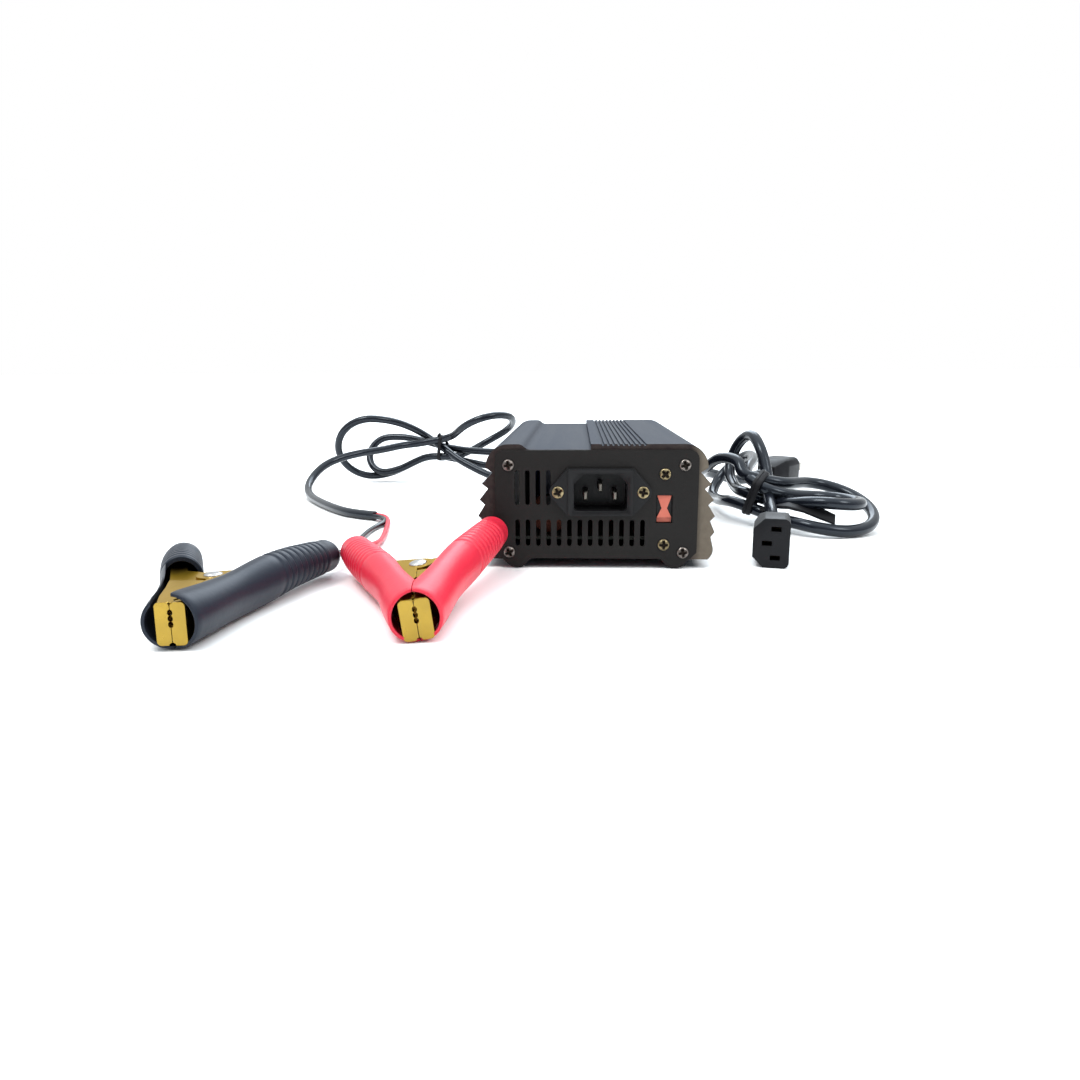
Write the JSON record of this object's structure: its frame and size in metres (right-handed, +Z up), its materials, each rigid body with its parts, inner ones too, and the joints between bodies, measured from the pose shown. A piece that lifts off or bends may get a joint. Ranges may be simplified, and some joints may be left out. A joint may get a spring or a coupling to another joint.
{
  "type": "car battery charger",
  "caption": "Finned aluminium mains charger with a voltage selector, a hanked output lead to two sprung battery clamps, and a detachable tied mains lead.",
  "frame": {"origin": "under the middle of the charger's case, on the surface it stands on", "axes": "+Z up, -Y out of the front plate with the mains inlet, +X to the right seen from the front"},
  "size_m": [0.3932, 0.4519, 0.061],
  "materials": {
    "case": "black anodised satin",
    "plate": "near-black warm grey satin",
    "screw": "nickel and brass with dark crosses",
    "black_plastic": "moulded",
    "brass": "plain",
    "slider": "salmon red",
    "board": "glass fibre board",
    "ferrite": "sintered",
    "copper": "enamelled copper",
    "can": "sleeved can",
    "bare_aluminium": "plain",
    "component": "moulded",
    "glass": "clear",
    "inner_wire": "insulated wire",
    "terminal": "green block",
    "lamp": "diffused",
    "jaw": "brass plated",
    "steel": "bright",
    "red_vinyl": "glossy vinyl",
    "blue_black_vinyl": "glossy vinyl",
    "cord": "glossy black",
    "red_wire": "glossy red",
    "tie": "flat band"
  },
  "bodies": {
    "charger": {"case_extrusion": "case", "front_plate": "plate", "rear_plate": "plate", "front_plate_screws": "screw", "rear_plate_screws": "screw", "selector_screws": "screw", "inlet_housing": "black_plastic", "inlet_pins": "brass", "inlet_screws": "screw", "selector_body": "black_plastic", "circuit_board": "board", "transformer_core": "ferrite", "transformer_winding": "copper", "bulk_capacitors": "can", "output_capacitors": "can", "choke_core": "ferrite", "choke_winding": "copper", "heat_spreader_bars": "bare_aluminium", "power_transistors": "component", "fuse": "glass", "inlet_wires": "inner_wire", "output_terminals": "terminal", "output_wires": "inner_wire", "fan_frame": "black_plastic", "fan_screws": "screw", "charge_lamps": "lamp", "lamp_board": "board", "cable_gland": "black_plastic", "gland_nut": "black_plastic", "red_clamp_fixed_jaw": "jaw", "red_clamp_fixed_sleeve": "red_vinyl", "red_clamp_pivot": "steel", "red_clamp_spring": "steel", "black_clamp_fixed_jaw": "jaw", "black_clamp_fixed_sleeve": "blue_black_vinyl", "black_clamp_pivot": "steel", "black_clamp_spring": "steel", "dc_lead_start": "cord", "dc_lead_hank": "cord", "dc_lead_end": "cord", "dc_lead_tie": "tie", "black_wire": "cord", "red_wire": "red_wire"},
    "selector_slider": {"selector_slider": "slider"},
    "fan_rotor": {"fan_rotor": "black_plastic"},
    "red_clamp_jaw": {"red_clamp_moving_jaw": "jaw", "red_clamp_moving_sleeve": "red_vinyl"},
    "black_clamp_jaw": {"black_clamp_moving_jaw": "jaw", "black_clamp_moving_sleeve": "blue_black_vinyl"},
    "mains_lead": {"mains_connector": "black_plastic", "mains_connector_contacts": "brass", "mains_connector_relief": "cord", "mains_lead_front": "cord", "mains_lead_hank": "cord", "mains_lead_rear": "cord", "mains_lead_tie": "tie", "mains_plug": "black_plastic", "mains_plug_blades": "brass", "mains_plug_relief": "cord"}
  },
  "joints": [
    {"name": "voltage_selector", "type": "slide", "parent": "charger", "child": "selector_slider", "axis": [0, 0, -1], "range_m": [0, 0.0026]},
    {"name": "fan_spin", "type": "hinge", "parent": "charger", "child": "fan_rotor", "pos_m": [0, 0.0905, 0.031], "axis": [0, 1, 0], "continuous": true},
    {"name": "red_clamp_hinge", "type": "hinge", "parent": "charger", "child": "red_clamp_jaw", "pos_m": [-0.0714, -0.16265, 0.01212], "axis": [-0.1121, -0.0692, 0.9913], "range_deg": [0, 32], "stiffness_Nm_per_rad": 1.2, "springref_deg": -34.38, "deforming": ["red_clamp_spring"]},
    {"name": "black_clamp_hinge", "type": "hinge", "parent": "charger", "child": "black_clamp_jaw", "pos_m": [-0.15107, -0.17277, 0.00938], "axis": [0.0026, -0.0229, -0.9997], "range_deg": [0, 32], "stiffness_Nm_per_rad": 1.2, "springref_deg": -34.38, "deforming": ["black_clamp_spring"]},
    {"name": "mains_lead_lift", "type": "slide", "parent": "charger", "child": "mains_lead", "axis": [0, 0, 1], "range_m": [0, 0.15]}
  ]
}
